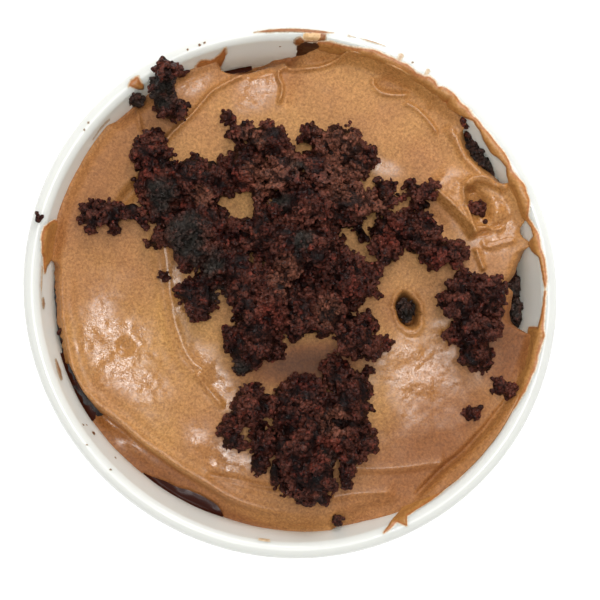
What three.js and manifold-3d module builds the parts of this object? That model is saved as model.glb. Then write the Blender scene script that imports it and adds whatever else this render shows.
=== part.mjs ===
// Chocolate cake cup: a white paper cup with a rolled rim, filled with dark chocolate cake,
// spread with a thick layer of milk chocolate frosting and topped with broken lumps of cake.
// Millimetres, +Z up. The origin is the middle of the cup's foot, on the table.

import * as THREE from 'three';
import { mergeVertices } from 'three/addons/utils/BufferGeometryUtils.js';
import Module from 'manifold-3d';

const wasm = await Module();
wasm.setup();

// ---------------------------------------------------------------- driving dimensions

// Gap between neighbouring solids. Trimmed lumps get a little more, for their flat facets.
const CLEARANCE = 0.3;
const TRIM_CLEARANCE = 0.4;

const CUP = {
  height: 60,
  rimRadius: 45,
  rollRadius: 1.45,
  rollFrom: -130,
  rollTo: 180,
  rollSteps: 8,
  footRadius: 35.5,
  paper: 0.6,
  skirt: 1.2,
  recess: 5,
  floor: 0.8,
  sides: 48,
};

const CAKE = { level: 48.4, roughness: 0.9, grain: 5, sides: 36, rings: 4 };

const FROSTING = {
  level: 56.5,
  base: 49.6,
  thinnest: 1,
  swell: 0.5,
  swellSize: 16,
  edgeRound: 0.9,
  edgeFrom: 0.95,
  edgeBulge: 0.6,
  sides: 72,
  rings: 14,
};

// Slots left open between the frosting and the wall: direction and half-width in degrees,
// and how far the frosting stays back from the wall. The middle share of each is full depth.
const SECTOR_CORE = 0.45;
const GAPS = [
  { at: 36, half: 13, depth: 3.4 },
  { at: 14, half: 3.5, depth: 1.8 },
  { at: 0, half: 11, depth: 4.3 },
  { at: 191, half: 22, depth: 1.7 },
  { at: 115, half: 4, depth: 1.6 },
];

// Places by the wall where the frosting lies low: direction and half-width in degrees,
// radius of the step in the middle and how much it moves outwards towards the ends,
// softness of the step, and the drop. Towards its ends the drop fades over a share of it.
const POCKET_FADE = 0.4;
const POCKETS = [
  { at: 99, half: 20, radius: 37.4, flare: 4, soft: 2.4, drop: 4.6 },
  { at: 237, half: 36, radius: 34.6, flare: 4.5, soft: 2.2, drop: 4.4 },
  { at: 276, half: 22, radius: 38.4, flare: 2, soft: 1.8, drop: 2.4 },
];

// Ridges left by the spatula: where each runs, how high it stands and how wide it is.
const RIDGES = [
  { path: [[-22, 25], [-18.5, 30.5], [-13, 34.4], [-7, 36.8], [-1.8, 38.2]], height: 1.3, width: 1.6 },
  { path: [[-0.5, 37.6], [4, 38.2], [8.4, 39.4]], height: 0.8, width: 1.4 },
  { path: [[9.8, 40.2], [14, 39.4], [18, 37.2], [22, 35.4]], height: 0.8, width: 1.6 },
  { path: [[24, 19.5], [27.4, 15.2], [31.2, 9.4]], height: 1.5, width: 2.0 },
  { path: [[28.5, 26.5], [32.6, 20.6], [36.2, 16.6]], height: 1.0, width: 1.6 },
  { path: [[-38.2, 4], [-37.4, -7], [-34.6, -15], [-29.6, -20]], height: 0.6, width: 2.2 },
  { path: [[-29.6, -20], [-20.6, -25.6], [-12.8, -30.6], [-4, -33]], height: 0.8, width: 2.4 },
  { path: [[28.8, -27.2], [33, -23.6], [36.2, -20]], height: -0.8, width: 1.6 },
  { path: [[-21, 8], [-18.6, -8], [-14, -16.6], [-11, -20]], height: -0.6, width: 2.4 },
];

// Dents and mounds: centre, half-length, half-width, turn in degrees and depth.
const DENTS = [
  { at: [-26.9, 16.7], long: 2.8, wide: 1.2, turn: 50, depth: 1.1 },
  { at: [17.9, 35.2], long: 4.2, wide: 1.6, turn: -8, depth: 1.0 },
  { at: [31.8, 15.6], long: 3.1, wide: 2.0, turn: 115, depth: 1.6 },
  { at: [27.6, 9.6], long: 3.4, wide: 1.6, turn: -35, depth: 1.0 },
  { at: [25.4, 23.4], long: 4.0, wide: 1.8, turn: -35, depth: 0.7 },
  { at: [-28, -9], long: 1.4, wide: 1.4, turn: 0, depth: 0.5 },
  { at: [0, 6], long: 24, wide: 22, turn: 0, depth: -0.7 },
  { at: [6, -16], long: 16, wide: 9, turn: 0, depth: 0.7 },
];

// The pit in the frosting where a sunken lump of cake shows.
const PIT = {
  at: [19.8, -3.4],
  long: 2.9,
  wide: 2.0,
  turn: 105,
  depth: 3.4,
  above: 4,
  taper: 0.85,
  sides: 14,
};

// Lumps of cake. Each is a cluster of lobes: x, y, half-length, half-width and height above
// the frosting.
const LUMPS = {
  crumb_centre: [
    [1.7, 14.7, 5.4, 3.9, 8],
    [9.3, 14.7, 5.1, 4.1, 7],
    [-3.2, 9.6, 5.0, 4.4, 7],
    [-11, 5.1, 5.1, 4.1, 6.5],
    [-15.5, 0, 3.4, 3.7, 5],
    [1.7, 7.1, 6.1, 5.1, 9],
    [9.3, 2.4, 4.4, 5.4, 7.5],
    [-4.7, 0.3, 6.1, 5.1, 8.5],
    [-6.8, -7.3, 4.4, 5.8, 6.5],
    [3.4, -3, 7, 4.7, 8],
    [12.2, -7.2, 4.1, 3.9, 6],
  ],
  crumb_top_left: [
    [-8.1, 27.5, 2.6, 2.3, 5],
    [-3.7, 26, 3.4, 3.4, 6.5],
    [-7.6, 21.5, 3.7, 3.7, 6],
    [-1.7, 20.6, 3.7, 4.1, 7],
  ],
  crumb_top_right: [
    [3.6, 27.6, 2.3, 2.2, 5.5],
    [8.1, 26, 4.1, 3.4, 6.5],
    [11.5, 23.7, 3, 3.4, 6],
    [5.9, 20.6, 4.4, 3.7, 7],
  ],
  crumb_upper_left: [
    [-23.8, 24.3, 2.7, 3.4, 5.5],
    [-22, 18.9, 3.7, 3.4, 5.5],
    [-16.9, 19.6, 4.4, 3.7, 7],
    [-12.8, 18.9, 2.4, 2.5, 4],
    [-22.8, 13.5, 3.4, 3, 5],
    [-16.9, 11.8, 5.1, 4.4, 6.5],
    [-15.6, 7.6, 5.0, 3.9, 5.5],
  ],
  crumb_arm: [
    [15.2, 16.4, 2.8, 3.5, 5.5],
    [17.2, 10.8, 3.5, 3.5, 6],
    [22.6, 9.8, 3.7, 3.5, 5.5],
    [25, 6.4, 3.5, 3.1, 5.5],
  ],
  crumb_lower: [
    [7.8, -14.2, 3.4, 3, 5.5],
    [10.5, -17.6, 4.1, 4.4, 6.5],
    [1.7, -18.6, 5.7, 4.1, 7.5],
    [-6.4, -18.6, 4.4, 3.4, 5.5],
    [-9.8, -23, 2, 3.4, 4],
    [-4.7, -24.3, 2, 3.4, 4.5],
    [1.7, -24.7, 5.4, 4.7, 8],
    [9.3, -23.3, 4.7, 3.7, 6.5],
    [3.4, -30.8, 4.4, 4.1, 6],
  ],
  crumb_right: [
    [29.7, -0.4, 3.4, 3.6, 6.5],
    [33.8, 0, 2.4, 3.6, 5.5],
    [31.8, -5.6, 4.1, 3.4, 6.5],
    [31.8, -9.8, 3, 2.7, 5],
  ],
  crumb_left: [
    [-34.1, 13.4, 2.4, 2.4, 4],
    [-30.8, 13.2, 2.6, 2.9, 4.5],
    [-28.6, 13, 1.5, 1.8, 2.5],
  ],
  crumb_star: [
    [21.1, 17.7, 1.9, 1.6, 3.5],
    [23.3, 17.2, 1.8, 1.8, 3.5],
    [22.5, 14.9, 1.6, 1.8, 3.0],
  ],
};

// The lump that stands by the wall and leans over the rim: lobes as x, y, z and radii.
const LEANING_LUMP = [
  [-20.6, 31.6, 58.6, 2.6, 2.9, 3.4],
  [-21.2, 34.6, 60.4, 2.6, 2.7, 3.8],
  [-21.0, 37.4, 62.6, 1.9, 2.4, 3.2],
];

// The lump in the pit.
const SUNKEN_LUMP = [19.8, -3.4, 55.4, 1.7, 2.6, 1.7];

// How closely the undersides of the lumps follow the frosting.
const REST = { reach: 3, directions: 8, sides: 24, rings: 6 };

// Lobes wider than fineFrom get the finer mesh. Unevenness is a share of a lobe's radius and
// lumpSize is the length over which its surface rises and falls.
const LOBE = { fineFrom: 3.6, spread: 1.1, sunk: 0.35, unevenness: 0.4, lumpSize: 1.6 };

// The curve the leaning lump bears on where it crosses the rolled rim.
const RIM_STEP = 30;

const FINISHES = {
  cup: { color: 0xf4f3ec, roughness: 0.25 },
  cake: { color: 0x1c110e, roughness: 0.7 },
  frosting: { color: 0xb98a5c, roughness: 0.45 },
  crumb: { color: 0x35201b, roughness: 0.75 },
};

// ---------------------------------------------------------------- small helpers

const cupFloor = CUP.recess + CUP.floor;
const rollCentre = { radius: CUP.rimRadius - CUP.rollRadius, z: CUP.height - CUP.rollRadius };
const mouthRadius = CUP.rimRadius - 2 * CUP.rollRadius;
const wallSlope = (mouthRadius - CUP.footRadius + CUP.paper) / rollCentre.z;

function wallRadius(z) {
  return mouthRadius - wallSlope * (rollCentre.z - Math.min(z, rollCentre.z));
}

function smoothstep(from, to, value) {
  return THREE.MathUtils.smoothstep(value, from, to);
}

function hash(i, j, k) {
  const wave = Math.sin(i * 127.1 + j * 311.7 + k * 74.7) * 43758.5453;
  return wave - Math.floor(wave);
}

// Smooth noise from -1 to 1 that varies over one unit of x, y and z.
function noise(x, y, z) {
  const cell = [x, y, z].map(Math.floor);
  const [u, v, w] = [x, y, z].map((value, axis) => smoothstep(0, 1, value - cell[axis]));
  let sum = 0;
  for (let corner = 0; corner < 8; corner++) {
    const [a, b, c] = [corner & 1, (corner >> 1) & 1, corner >> 2];
    const weight = (a ? u : 1 - u) * (b ? v : 1 - v) * (c ? w : 1 - w);
    sum += weight * hash(cell[0] + a, cell[1] + b, cell[2] + c);
  }
  return 2 * sum - 1;
}

// 1 in the middle of a sector of the cup, falling smoothly to 0 at its ends.
function sector(angle, { at, half }) {
  const turn = THREE.MathUtils.euclideanModulo(THREE.MathUtils.radToDeg(angle) - at + 180, 360) - 180;
  return 1 - smoothstep(SECTOR_CORE * half, half, Math.abs(turn));
}

// ---------------------------------------------------------------- surfaces

const ridgeLines = RIDGES.map(({ path, height, width }) => {
  const curve = new THREE.CatmullRomCurve3(path.map(([x, y]) => new THREE.Vector3(x, y, 0)));
  return { points: curve.getPoints(24), height, width };
});

function ridgeHeight(x, y) {
  let sum = 0;
  for (const { points, height, width } of ridgeLines) {
    const distances = points.map((p) => Math.hypot(p.x - x, p.y - y));
    const nearest = Math.min(...distances);
    sum += height * Math.exp(-((nearest / width) ** 2));
  }
  return sum;
}

function dentDepth(x, y) {
  let sum = 0;
  for (const { at, long, wide, turn, depth } of DENTS) {
    const place = new THREE.Vector2(x - at[0], y - at[1]);
    place.rotateAround(new THREE.Vector2(), -THREE.MathUtils.degToRad(turn));
    sum += depth * Math.exp(-((place.x / long) ** 2) - (place.y / wide) ** 2);
  }
  return sum;
}

function pocketDrop(radius, angle) {
  const drops = POCKETS.map((pocket) => {
    const share = sector(angle, pocket);
    const edge = pocket.radius + pocket.flare * (1 - share);
    const step = smoothstep(edge - pocket.soft, edge + pocket.soft, radius);
    return pocket.drop * step * smoothstep(0, POCKET_FADE, share);
  });
  return Math.max(...drops);
}

function frostingTop(x, y) {
  const radius = Math.hypot(x, y);
  const angle = Math.atan2(y, x);
  const swell = FROSTING.swell * noise(x / FROSTING.swellSize, y / FROSTING.swellSize, 0);
  const top = FROSTING.level + swell + ridgeHeight(x, y) - dentDepth(x, y) - pocketDrop(radius, angle);
  return Math.max(top, FROSTING.base + FROSTING.thinnest);
}

function cakeTop(x, y) {
  const bumps = noise(x / CAKE.grain, y / CAKE.grain, 3);
  return CAKE.level + CAKE.roughness * bumps;
}

function gapDepth(angle) {
  return Math.max(...GAPS.map((gap) => gap.depth * sector(angle, gap)));
}

// ---------------------------------------------------------------- mesh builders

function meshFrom(points, triangles) {
  const geometry = new THREE.BufferGeometry();
  geometry.setAttribute('position', new THREE.Float32BufferAttribute(points.flat(), 3));
  geometry.setIndex(triangles.flat());
  return geometry;
}

// A round slab as a stack of closed loops, from the middle of the top to the middle of the
// bottom. Each loop is a function from the angle to a point.
function loopStack(sides, topPole, loops, bottomPole) {
  const points = [topPole];
  for (const loop of loops) {
    for (let side = 0; side < sides; side++) points.push(loop((2 * Math.PI * side) / sides));
  }
  points.push(bottomPole);
  const at = (loop, side) => 1 + loop * sides + (side % sides);
  const triangles = [];
  for (let side = 0; side < sides; side++) {
    triangles.push([0, at(0, side), at(0, side + 1)]);
    for (let loop = 0; loop + 1 < loops.length; loop++) {
      triangles.push([at(loop, side), at(loop + 1, side), at(loop + 1, side + 1)]);
      triangles.push([at(loop, side), at(loop + 1, side + 1), at(loop, side + 1)]);
    }
    triangles.push([points.length - 1, at(loops.length - 1, side + 1), at(loops.length - 1, side)]);
  }
  return meshFrom(points, triangles);
}

function polar(radius, angle, z) {
  return [radius * Math.cos(angle), radius * Math.sin(angle), z];
}

// Rings that lie closer together towards the rim, where the surface has most relief.
function ringShare(ring, rings) {
  const crowding = 0.35;
  const share = ring / rings;
  return share * (1 + crowding - crowding * share);
}

function toManifold(geometry) {
  const bare = geometry.clone();
  bare.deleteAttribute('normal');
  bare.deleteAttribute('uv');
  const merged = mergeVertices(bare, 1e-4);
  const mesh = new wasm.Mesh({
    numProp: 3,
    vertProperties: new Float32Array(merged.attributes.position.array),
    triVerts: new Uint32Array(merged.index.array),
  });
  return new wasm.Manifold(mesh);
}

function fromManifold(solid) {
  const { vertProperties, triVerts, numProp } = solid.getMesh();
  const points = [];
  for (let i = 0; i < vertProperties.length; i += numProp) {
    points.push([...vertProperties.slice(i, i + 3)]);
  }
  return meshFrom(points, [...triVerts]);
}

// ---------------------------------------------------------------- the cup

// Recessed floor inside a skirt, tapered wall, and the wall's top edge rolled outwards.
function cupGeometry() {
  const skirtInside = CUP.footRadius - CUP.skirt;
  const profile = [
    new THREE.Vector2(0, CUP.recess),
    new THREE.Vector2(skirtInside + wallSlope * CUP.recess, CUP.recess),
    new THREE.Vector2(skirtInside, 0),
    new THREE.Vector2(CUP.footRadius, 0),
  ];
  const rollTurn = CUP.rollTo - CUP.rollFrom;
  for (let step = 0; step <= CUP.rollSteps; step++) {
    const angle = THREE.MathUtils.degToRad(CUP.rollFrom + (rollTurn * step) / CUP.rollSteps);
    profile.push(new THREE.Vector2(
      rollCentre.radius + CUP.rollRadius * Math.cos(angle),
      rollCentre.z + CUP.rollRadius * Math.sin(angle),
    ));
  }
  profile.push(new THREE.Vector2(wallRadius(cupFloor), cupFloor));
  profile.push(new THREE.Vector2(0, cupFloor));
  return new THREE.LatheGeometry(profile, CUP.sides).rotateX(Math.PI / 2);
}

// ---------------------------------------------------------------- the cake

function cakeGeometry() {
  const bottom = cupFloor + CLEARANCE;
  const rim = wallRadius(CAKE.level) - CLEARANCE;
  const foot = wallRadius(bottom) - CLEARANCE;
  const loops = [];
  for (let ring = 1; ring <= CAKE.rings; ring++) {
    const radius = rim * ringShare(ring, CAKE.rings);
    loops.push((angle) => {
      const [x, y] = polar(radius, angle, 0);
      return [x, y, cakeTop(x, y)];
    });
  }
  loops.push((angle) => polar(foot, angle, bottom));
  return loopStack(CAKE.sides, [0, 0, cakeTop(0, 0)], loops, [0, 0, bottom]);
}

// ---------------------------------------------------------------- the frosting

// The layer itself, or with a margin the space that lumps resting on it must stay out of.
// The gap is how far it stays back from the wall at an angle.
function frostingSlab(height, margin, gap, { sides, rings }) {
  const base = margin > 0 ? cupFloor : FROSTING.base;
  const edgeRadius = (angle, z) => wallRadius(z) - CLEARANCE - gap(angle);
  const topRadius = (angle) => {
    const [x, y] = polar(edgeRadius(angle, FROSTING.level), angle, 0);
    return edgeRadius(angle, height(x, y) - FROSTING.edgeRound);
  };
  const surface = (share) => (angle) => {
    const [x, y] = polar(topRadius(angle) * share, angle, 0);
    const round = FROSTING.edgeRound * smoothstep(FROSTING.edgeFrom, 1, share);
    return [x, y, height(x, y) - round + margin];
  };
  const loops = [];
  for (let ring = 1; ring <= rings; ring++) {
    loops.push(surface(ringShare(ring, rings)));
  }
  loops.push((angle) => {
    const edge = surface(1)(angle)[2] - margin;
    const z = Math.max(edge - FROSTING.edgeRound, FROSTING.base + FROSTING.thinnest / 2);
    const bulge = Math.min(FROSTING.edgeBulge, gap(angle));
    return polar(edgeRadius(angle, z) + bulge + margin, angle, z);
  });
  loops.push((angle) => polar(edgeRadius(angle, base) + margin, angle, base));
  return loopStack(sides, [0, 0, height(0, 0) + margin], loops, [0, 0, base]);
}

// The highest frosting close by, which a lump lying there would touch first.
function restHeight(x, y) {
  let highest = frostingTop(x, y);
  for (let step = 0; step < REST.directions; step++) {
    const [dx, dy] = polar(REST.reach, (2 * Math.PI * step) / REST.directions, 0);
    highest = Math.max(highest, frostingTop(x + dx, y + dy));
  }
  return highest;
}

// The space of the pit, left open above, or with an inset the room for what lies in it.
function pitSolid(inset) {
  const [x, y] = PIT.at;
  const height = PIT.depth + PIT.above - inset;
  const pit = new THREE.CylinderGeometry(1, PIT.taper, height, PIT.sides);
  pit.rotateX(Math.PI / 2);
  pit.scale(PIT.long - inset, PIT.wide - inset, 1);
  pit.rotateZ(THREE.MathUtils.degToRad(PIT.turn));
  pit.translate(x, y, frostingTop(x, y) + PIT.above - height / 2);
  return toManifold(pit);
}

const frostingSpace = toManifold(frostingSlab(restHeight, TRIM_CLEARANCE, () => 0, REST));

// ---------------------------------------------------------------- the lumps of cake

// One lobe: a ball with a lumpy surface, stretched to its three radii.
function lobeSolid([x, y, z, radiusX, radiusY, radiusZ], grow) {
  const radius = (radiusX + radiusY) / 2;
  const Ball = radius > LOBE.fineFrom ? THREE.IcosahedronGeometry : THREE.OctahedronGeometry;
  const geometry = new Ball(1, 1);
  const place = geometry.attributes.position;
  for (let i = 0; i < place.count; i++) {
    const point = new THREE.Vector3().fromBufferAttribute(place, i);
    const sample = point.clone().multiplyScalar(radius / LOBE.lumpSize);
    const bump = 1 + LOBE.unevenness * noise(sample.x + x, sample.y + y, sample.z + z);
    place.setXYZ(
      i,
      x + point.x * (radiusX * bump + grow),
      y + point.y * (radiusY * bump + grow),
      z + point.z * (radiusZ * bump + grow),
    );
  }
  return toManifold(geometry);
}

function lumpSolid(lobes, grow = 0) {
  const [first, ...rest] = lobes.map((lobe) => lobeSolid(lobe, grow));
  return rest.reduce((solid, lobe) => solid.add(lobe), first);
}

// A lobe of a resting lump reaches its height above the frosting and a little way into it.
function restingLobe([x, y, radiusX, radiusY, height]) {
  const radiusZ = (height * (1 + LOBE.sunk)) / 2;
  const [spreadX, spreadY] = [radiusX * LOBE.spread, radiusY * LOBE.spread];
  return [x, y, frostingTop(x, y) + height - radiusZ, spreadX, spreadY, radiusZ];
}

// The rim and wall with a margin, as a ring that the leaning lump is fitted over.
function rimSpace() {
  const margin = CUP.rollRadius + TRIM_CLEARANCE;
  const low = CAKE.level;
  const profile = [new THREE.Vector2(wallRadius(low) - CLEARANCE, low)];
  profile.push(new THREE.Vector2(rollCentre.radius + margin, low));
  for (let turn = 0; turn <= 180; turn += RIM_STEP) {
    const angle = THREE.MathUtils.degToRad(turn);
    profile.push(new THREE.Vector2(
      rollCentre.radius + margin * Math.cos(angle),
      rollCentre.z + margin * Math.sin(angle),
    ));
  }
  profile.push(profile[0].clone());
  return toManifold(new THREE.LatheGeometry(profile, CUP.sides).rotateX(Math.PI / 2));
}

// Each lump is trimmed by the frosting below it and by the lumps placed before it.
function lumpGeometries() {
  const geometries = {};
  const placed = [];
  for (const [name, lobes] of Object.entries(LUMPS)) {
    const resting = lobes.map(restingLobe);
    let solid = lumpSolid(resting).subtract(frostingSpace);
    for (const neighbour of placed) solid = solid.subtract(neighbour);
    placed.push(lumpSolid(resting, TRIM_CLEARANCE));
    geometries[name] = fromManifold(solid);
  }
  const slope = frostingSlab(frostingTop, TRIM_CLEARANCE, gapDepth, FROSTING);
  const leaning = lumpSolid(LEANING_LUMP).subtract(toManifold(slope)).subtract(rimSpace());
  geometries.crumb_leaning = fromManifold(leaning);
  const sunk = lobeSolid(SUNKEN_LUMP, 0).intersect(pitSolid(TRIM_CLEARANCE));
  geometries.crumb_sunk = fromManifold(sunk);
  return geometries;
}

// ---------------------------------------------------------------- assembly

function piece(name, geometry, finish) {
  const material = new THREE.MeshStandardMaterial({ ...finish, metalness: 0 });
  const mesh = new THREE.Mesh(geometry, material);
  mesh.name = name;
  return mesh;
}

const frostingLayer = toManifold(frostingSlab(frostingTop, 0, gapDepth, FROSTING));
const frosting = frostingLayer.subtract(pitSolid(0));

const cakeCup = new THREE.Group();
cakeCup.add(piece('cup', cupGeometry(), FINISHES.cup));
cakeCup.add(piece('cake', cakeGeometry(), FINISHES.cake));
cakeCup.add(piece('frosting', fromManifold(frosting), FINISHES.frosting));
for (const [name, geometry] of Object.entries(lumpGeometries())) {
  cakeCup.add(piece(name, geometry, FINISHES.crumb));
}

export default cakeCup;
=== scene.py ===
"""Chocolate cake cup: paper cup, dark cake, milk chocolate frosting and broken lumps of cake.

Lengths are in millimetres until a mesh is made. Angles are in degrees round the cup's axis,
from +X towards +Y, and a turn is an angle in radians.
"""

import functools
import itertools
import math

import bpy
import numpy as np
import openvdb
from mathutils import Matrix, Vector


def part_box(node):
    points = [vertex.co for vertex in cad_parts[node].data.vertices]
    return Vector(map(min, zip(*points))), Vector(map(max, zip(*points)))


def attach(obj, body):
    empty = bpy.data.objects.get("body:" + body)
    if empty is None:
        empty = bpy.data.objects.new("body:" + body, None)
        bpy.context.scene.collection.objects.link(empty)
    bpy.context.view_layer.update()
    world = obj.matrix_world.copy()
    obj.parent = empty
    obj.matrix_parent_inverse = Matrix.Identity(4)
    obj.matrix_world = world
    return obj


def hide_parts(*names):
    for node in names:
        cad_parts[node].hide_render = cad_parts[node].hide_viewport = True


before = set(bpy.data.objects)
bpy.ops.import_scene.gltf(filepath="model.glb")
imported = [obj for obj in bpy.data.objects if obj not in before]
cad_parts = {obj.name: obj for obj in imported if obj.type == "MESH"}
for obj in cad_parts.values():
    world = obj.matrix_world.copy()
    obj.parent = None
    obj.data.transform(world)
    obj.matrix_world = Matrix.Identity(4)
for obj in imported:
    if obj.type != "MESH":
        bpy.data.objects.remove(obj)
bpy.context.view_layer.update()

MM = 0.001

# ---- sizes and places

CUP_HEIGHT = 60.0
RIM = 44.94
ROLL = 1.45
FOOT = 35.5
PAPER_WALL = 0.6
SKIRT = 1.2
RECESS = 5.0
FLOOR_TOP = RECESS + 0.8
ROLL_RADIUS = RIM - ROLL
ROLL_HEIGHT = CUP_HEIGHT - ROLL
MOUTH = ROLL_RADIUS - ROLL
TAPER = (MOUTH - FOOT + PAPER_WALL) / ROLL_HEIGHT
# The inner wall leaves the roll in a flare, which ends where the wall stands almost upright.
FLARE_SLOPE = 0.3
FLARE_BOTTOM = 50.0
LEAVES = math.atan(FLARE_SLOPE)
FLARE_RADIUS = ROLL_RADIUS - ROLL * math.cos(LEAVES)
FLARE_HEIGHT = ROLL_HEIGHT + ROLL * math.sin(LEAVES)
# The paper cup stands slightly out of round: by how large a share, and towards which side.
OVAL_SHARE = 0.0112
OVAL_TOWARD = 135.0

# The frosting's top and underside, and the height at which the cake's plain side starts.
LEVEL = 56.5
BASE = 49.6
CAKE_SIDE = 43.6
# How far the frosting reaches into the paper where it touches the wall.
TOUCH = 0.12

# How far the frosting stays back from the wall: angle and depth.
SLOTS = [
    (-10.6, 0), (-10.2, 0.4), (-9.6, 1.4), (-9.2, 2.8), (-8.2, 3.9), (-6, 4.4), (-3, 4.2), (-1.2, 3.65),
    (0, 4), (1.8, 5), (3.8, 3.7), (7, 2.5), (9, 1.6), (9.9, 1), (10.6, 0), (11.7, 0), (12.4, 0.7),
    (14, 0.85), (16, 0.6), (17, 0), (25.8, 0), (27, 0.8), (29, 1.5), (31, 2.15), (34, 2.5), (37, 2.8),
    (40, 2.4), (42, 1.7), (43.4, 0.4), (44.1, 0), (114, 0), (115.5, 0.6), (117.5, 0.6), (119, 0),
    (172.6, 0), (173.3, 1.2), (174.3, 1.8), (180, 2), (188, 1.95), (192, 2.05), (196, 1.75), (198, 1.35),
    (202, 1.4), (205, 1.55), (208, 2), (210.2, 2), (211.6, 1.1), (213.2, 0),
]

# The frosting where it meets the wall: angle, height, and how far inwards it bends towards that.
WALL_LEVELS = [
    (0, 56.8, 2.5), (12, 56.6, 2.2), (22, 58, 3), (30, 57, 2.4), (44, 57.4, 2.6), (56, 58.4, 2.4),
    (72, 58.3, 2.2), (80, 57.9, 3), (84, 57.5, 3), (87, 55.6, 3.2), (89, 54.3, 3.3), (91, 53.4, 3.4),
    (95, 52, 3.4), (99, 50.9, 3.4), (101, 50.5, 3.4), (103, 50.8, 3), (105, 52.2, 2.6), (107, 54.6, 2.2),
    (108, 56, 2.2), (118, 55.8, 2.4), (132, 54.8, 2.8), (136, 55, 2.8), (138, 56.2, 2.4), (150, 55.8, 2.4),
    (162, 55.8, 2.6), (168, 55.1, 2.8), (172, 55, 2.6), (180, 55.4, 2), (206, 55, 2), (211, 54.2, 2.4),
    (214, 53.9, 2.8), (222, 53.5, 3.4), (234, 53, 3.8), (243, 53.1, 4), (252, 52.9, 4), (258, 53.4, 3.8),
    (264, 53.8, 3.6), (270, 54.3, 3.4), (276, 54.7, 3.2), (279.5, 54.9, 3), (281, 54, 3), (288, 54.3, 3),
    (294, 55.4, 2.8), (300, 56.3, 3), (306, 57.6, 3.4), (325, 58.2, 3.6), (340, 58, 2.6), (347, 57.4, 2),
    (354, 57, 2.2),
]

# How high the cake stands by the wall: angle and height.
CAKE_EDGE = [
    (-12, 44.5), (8, 44.5), (12, 51.5), (18, 51.5), (25, 53.6), (30, 54.4), (42, 54.4), (46, 52), (86, 50),
    (98, 48), (108, 48), (112, 52.5), (120, 53.5), (172, 53), (180, 53), (192, 53.5), (201, 54.1),
    (212, 53.9), (216, 52), (232, 51.2), (254, 51.2), (260, 51), (340, 51),
]

# The upper layer of frosting ends in a rolled lip along this line, above a lower layer.
LIP = [
    (-39.9, 8.2), (-39.4, 3.9), (-39.4, -0.2), (-38.9, -5.7), (-38, -10.4), (-37.2, -13.7), (-35.6, -16.7),
    (-32.8, -19.4), (-29, -22.3), (-25.3, -25.4), (-21.6, -28), (-17.8, -30.6), (-14, -32.9), (-11, -34.8),
    (-7.2, -36.4), (-2.1, -37.5), (3.1, -37.5),
]

# How strongly the creases stand out.
CREST = 1.35
# Creases: height of the crest, its width, a step that lowers the left-hand side of the path,
# the distance over which that fades, and the path.
CREASES = [
    (0.6, 0.55, 0.9, 5, [(-23, 22.8), (-21.1, 25.7), (-19.3, 27.6), (-16.6, 30.2), (-14.8, 32.4),
        (-13, 34.2), (-9.5, 36.2), (-7.2, 37.2), (-4.1, 38.1), (-2.3, 38.6)]),
    (0.55, 0.42, 0.5, 2, [(-2.3, 38.7), (-1.4, 38.9), (-0.8, 38.3), (-1.6, 37.9), (-2.1, 37.3), (-2, 36.2),
        (-1.5, 35.2), (-1.5, 34), (-1.8, 32.7), (-2.4, 31.4)]),
    (0.6, 0.5, 0.8, 4, [(-1.4, 38.3), (0, 37.9), (1.8, 37.9), (4.9, 38.2), (7.6, 39.2), (9.3, 40.3),
        (10, 41)]),
    (0.8, 0.5, 1.2, 3, [(9.8, 40.9), (10.8, 40.3), (13, 40.1), (15.1, 39.3), (17.4, 37.8), (20, 36.8),
        (22.4, 36.2)]),
    (0.45, 0.42, 0, 1, [(14, 36.6), (14.2, 35), (15.5, 33.8), (17.9, 33.4), (21, 33.7)]),
    (0.45, 0.45, 0.35, 2, [(18.8, 32.3), (21, 31.4), (22.8, 29.8), (24.1, 28.2), (25.2, 26.4)]),
    (0.4, 0.4, 0, 1, [(23.4, 31), (24.4, 32.7), (25.6, 33.8), (27, 34.2)]),
    (0.6, 0.6, -0.4, 2, [(26, 28.6), (28.1, 25.6), (29.3, 23.2), (31.2, 20.9), (33.2, 19.7), (35, 18.8)]),
    (0.9, 0.6, -1.1, 4.5, [(22.4, 18.6), (25.5, 15.8), (27.5, 13.9), (29.1, 12.2), (30.4, 10.3),
        (31.2, 8.9)]),
    (0.6, 0.42, 0.9, 2.6, [(29.3, 18.2), (29.4, 16.4), (29.7, 14.6), (30.4, 12.6), (31.1, 10.6), (31.4, 9)]),
    (0.9, 0.6, -0.6, 2, [(29.5, 17.2), (30.6, 18.6), (32, 19), (33.6, 18.5), (35.2, 17.8), (36.9, 16.7)]),
    (0.6, 0.42, 0, 1, [(31.3, 7.4), (32, 5.6), (32.8, 3.3)]),
    (0.4, 0.42, 0.3, 2, [(31.3, 10.9), (33, 10.8), (34.8, 10.5), (36.4, 10.9)]),
    (0.3, 0.42, 0, 1, [(32.2, 8.4), (33.6, 7.5), (36.2, 8.2), (38.3, 8.6)]),
    (0.35, 1.2, -0.45, 4, [(-22.6, 10), (-22.3, 6.8), (-21.6, 1), (-20.4, -6), (-17.7, -12.2),
        (-12.6, -16)]),
    (0.35, 0.5, 0, 1, [(-16.2, -13.6), (-13.8, -16.8), (-11.2, -19.8)]),
    (0.4, 0.42, 0, 1, [(-26.4, 31.2), (-25.9, 29.2), (-25.4, 27)]),
    (-0.4, 0.42, 0, 1, [(-14.6, -31), (-12, -31.4), (-9, -31.9), (-4.6, -33), (0, -33.4)]),
    (-0.9, 0.5, -0.6, 2, [(40.1, -10.1), (38, -16.3), (36.5, -18.8), (35.2, -20.5), (33, -23.3),
        (30.6, -25.9), (28.6, -27.9), (26.4, -29.6), (24.4, -31.5), (22.4, -33.5), (20.2, -35.4)]),
    (0.3, 0.5, -0.3, 2, [(9.6, -30.2), (13, -30.4), (18.1, -30.2), (23.9, -29.5), (26.4, -29.4)]),
    (0.3, 0.42, -0.3, 2, [(6.6, -35.3), (9, -34.8), (12.4, -34.4), (18.1, -34.2)]),
]

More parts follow.
